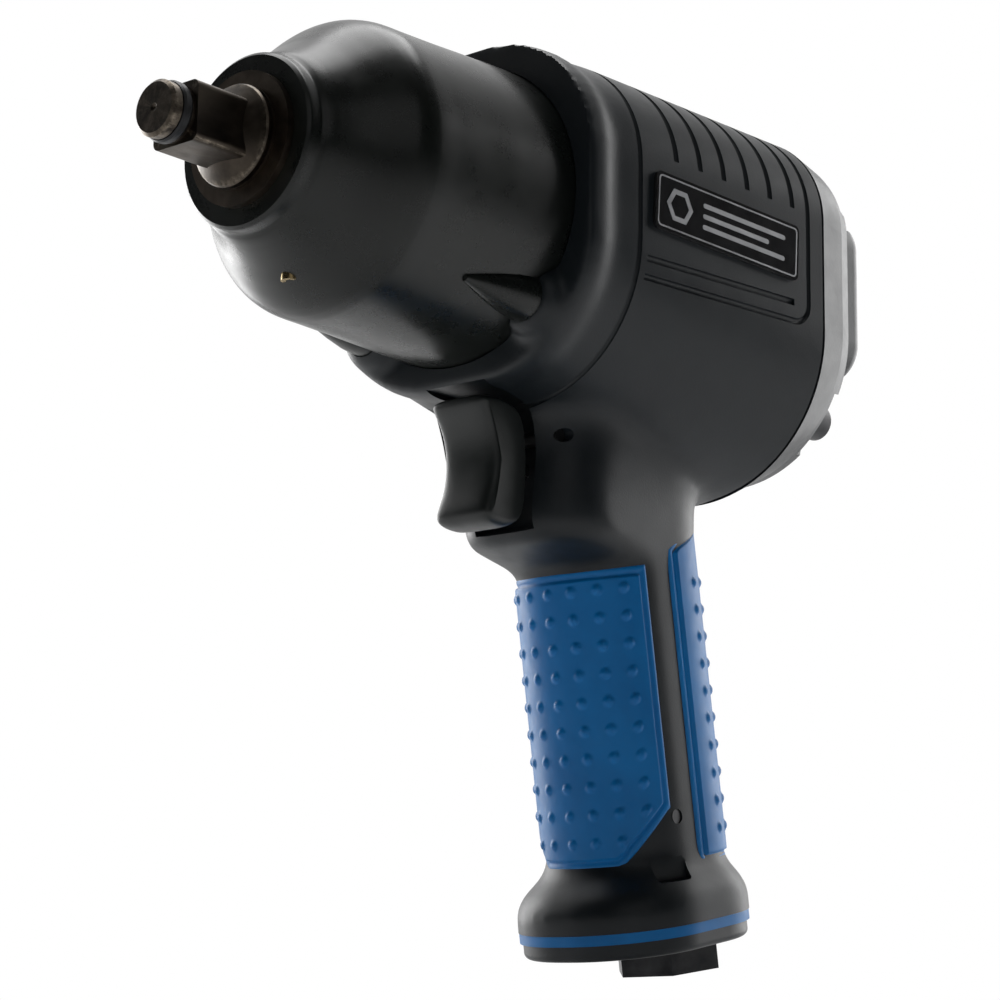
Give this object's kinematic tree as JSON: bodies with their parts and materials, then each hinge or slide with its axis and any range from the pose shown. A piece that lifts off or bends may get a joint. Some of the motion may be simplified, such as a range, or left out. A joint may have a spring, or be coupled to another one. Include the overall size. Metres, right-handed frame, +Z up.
{
  "type": "impact wrench",
  "caption": "Air impact wrench with a half-inch square drive, bell-shaped hammer case, pistol handle with rubber grips, finger trigger and air inlet in the base.",
  "frame": {"origin": "centre of the flat tip of the square drive, on the barrel axis", "axes": "+X along the barrel from the drive to the rear cover, +Z up, the handle hangs towards -Z; the left side faces -Y"},
  "size_m": [0.188, 0.093, 0.2015],
  "materials": {
    "case_black": "satin charcoal-black coating",
    "housing_black": "fine-textured charcoal-black composite",
    "cover_black": "fine-textured charcoal-black composite",
    "grip_blue": "smooth satin blue rubber",
    "trigger_black": "smooth satin black",
    "tool_steel": "dark oiled tool steel",
    "bright_steel": "ground steel",
    "black_oxide": "black oxide",
    "bronze": "oiled sintered bronze",
    "brass": "turned brass",
    "light_alloy": "machined",
    "vane_resin": "phenolic laminate",
    "seal_black": "smooth black rubber",
    "gasket_grey": "gasket sheet",
    "felt": "felt",
    "badge_black": "gloss black with a plain pattern"
  },
  "bodies": {
    "housing": {"hammer_case": "case_black", "anvil_bushing": "bronze", "thrust_washer": "bright_steel", "grease_screw": "brass", "front_end_plate": "light_alloy", "front_bearing_outer": "bright_steel", "motor_cylinder": "light_alloy", "rear_end_plate": "light_alloy", "rear_bearing_outer": "bright_steel", "motor_housing": "housing_black", "trigger_bushing": "brass", "throttle_seat": "seal_black", "throttle_spring": "bright_steel", "trigger_pin": "black_oxide", "rear_cover": "cover_black", "reverse_bushing": "brass", "detent_ball": "bright_steel", "detent_spring": "bright_steel", "case_gasket": "gasket_grey", "rear_gasket": "gasket_grey", "hammer_case_bolts": "black_oxide", "rear_cover_bolts": "black_oxide", "front_grip": "grip_blue", "rear_grip": "grip_blue", "base_ring": "grip_blue", "base_cover": "housing_black", "muffler": "felt", "inlet_bushing": "black_oxide", "inlet_o_ring": "seal_black", "inlet_screen": "bright_steel", "handle_pin": "black_oxide", "left_badge": "badge_black", "right_badge": "badge_black"},
    "anvil": {"anvil": "tool_steel", "retaining_ring": "black_oxide", "anvil_o_ring": "seal_black"},
    "rotor": {"rotor": "bright_steel", "vanes": "vane_resin", "hammer_cage": "tool_steel", "hammer_pins": "bright_steel", "front_bearing_inner": "bright_steel", "rear_bearing_inner": "bright_steel"},
    "front_hammer": {"front_hammer": "tool_steel"},
    "rear_hammer": {"rear_hammer": "tool_steel"},
    "front_balls": {"front_bearing_balls": "bright_steel"},
    "rear_balls": {"rear_bearing_balls": "bright_steel"},
    "trigger": {"trigger": "trigger_black", "trigger_rod": "bright_steel"},
    "throttle_valve": {"throttle_valve": "brass"},
    "reverse_dial": {"reverse_knob": "trigger_black", "knob_screw": "bright_steel", "reverse_valve": "bright_steel"}
  },
  "joints": [
    {"name": "rotor_spin", "type": "hinge", "parent": "housing", "child": "rotor", "pos_m": [0.12, 0, 0], "axis": [1, 0, 0], "continuous": true},
    {"name": "anvil_spin", "type": "hinge", "parent": "housing", "child": "anvil", "pos_m": [0.04, 0, 0], "axis": [1, 0, 0], "continuous": true},
    {"name": "front_hammer_rock", "type": "hinge", "parent": "rotor", "child": "front_hammer", "pos_m": [0.066, 0, 0.0204], "axis": [1, 0, 0], "range_deg": [-3, 3]},
    {"name": "rear_hammer_rock", "type": "hinge", "parent": "rotor", "child": "rear_hammer", "pos_m": [0.078, 0, -0.0204], "axis": [1, 0, 0], "range_deg": [-3, 3]},
    {"name": "front_balls_orbit", "type": "hinge", "parent": "housing", "child": "front_balls", "pos_m": [0.1, 0, 0], "axis": [1, 0, 0], "continuous": true},
    {"name": "rear_balls_orbit", "type": "hinge", "parent": "housing", "child": "rear_balls", "pos_m": [0.149, 0, 0], "axis": [1, 0, 0], "continuous": true},
    {"name": "trigger_pull", "type": "slide", "parent": "housing", "child": "trigger", "axis": [1, 0, 0], "range_m": [0, 0.0068], "stiffness_N_per_m": 1500, "springref_m": -0.004},
    {"name": "throttle_open", "type": "slide", "parent": "housing", "child": "throttle_valve", "axis": [1, 0, 0], "range_m": [0, 0.0068], "deforming": ["throttle_spring"]},
    {"name": "reverse_turn", "type": "hinge", "parent": "housing", "child": "reverse_dial", "pos_m": [0.184, 0, -0.0345], "axis": [1, 0, 0], "range_deg": [-60, 60]}
  ],
  "couplings": [
    {"joint": "anvil_spin", "follows": "rotor_spin", "ratio": 1},
    {"joint": "front_balls_orbit", "follows": "rotor_spin", "ratio": 0.4263},
    {"joint": "rear_balls_orbit", "follows": "rotor_spin", "ratio": 0.4263},
    {"joint": "throttle_open", "follows": "trigger_pull", "ratio": 1}
  ]
}
